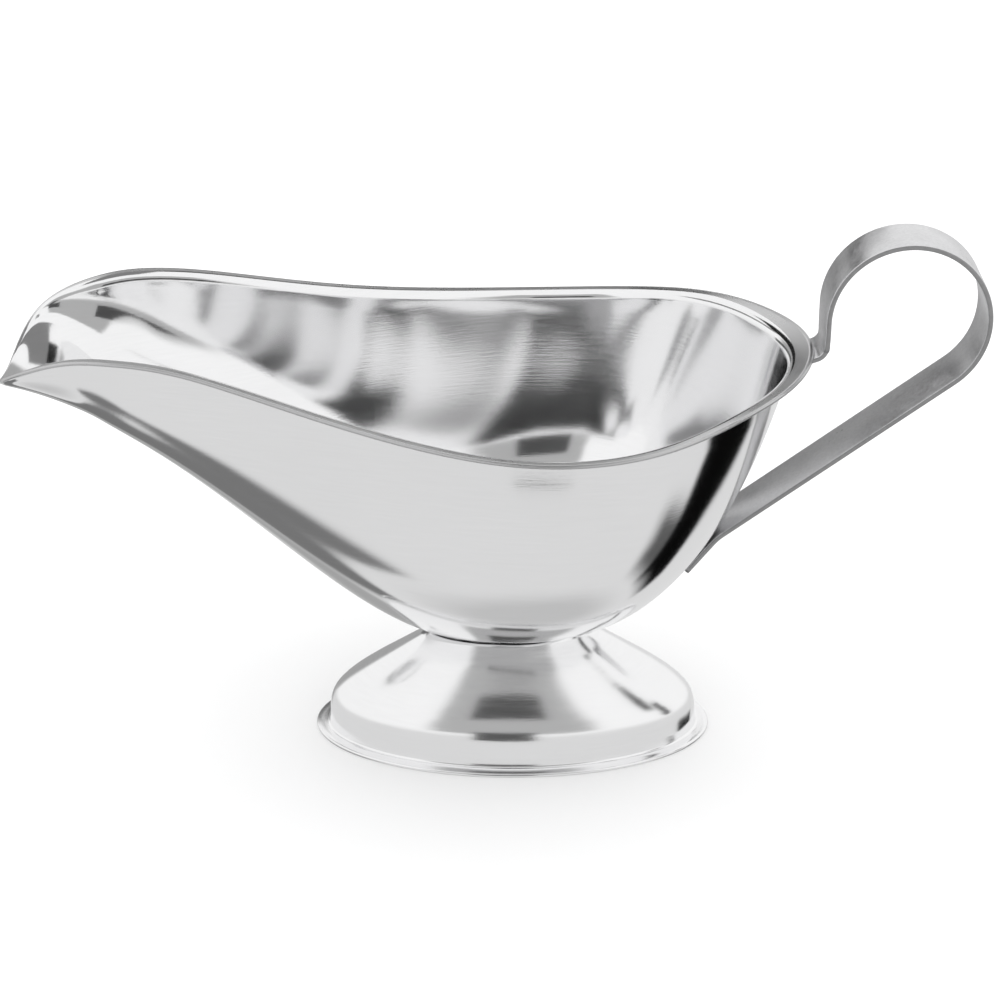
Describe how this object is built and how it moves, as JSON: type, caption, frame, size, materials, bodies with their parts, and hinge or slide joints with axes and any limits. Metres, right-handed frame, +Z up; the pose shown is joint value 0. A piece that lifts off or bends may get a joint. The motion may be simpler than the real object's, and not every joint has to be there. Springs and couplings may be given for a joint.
{
  "type": "gravy boat",
  "caption": "Footed stainless steel gravy boat with a raised pouring spout, a hollow oval foot and a looped strap handle.",
  "frame": {"origin": "on the surface it stands on, under the middle of the whole object's length and width", "axes": "+X from the spout towards the handle, +Y across the bowl, +Z up"},
  "size_m": [0.2228, 0.104, 0.1263],
  "materials": {
    "polished_steel": "bright polished stainless steel with a faint brushed grain",
    "foot_steel": "bright polished stainless steel",
    "satin_steel": "satin stainless steel, brushed along the strap",
    "weld_steel": "dull resistance-weld nugget"
  },
  "bodies": {
    "root": {"bowl": "polished_steel", "foot": "foot_steel", "handle": "satin_steel", "foot_spot_welds": "weld_steel", "upper_handle_welds": "weld_steel", "lower_handle_welds": "weld_steel"}
  },
  "joints": []
}
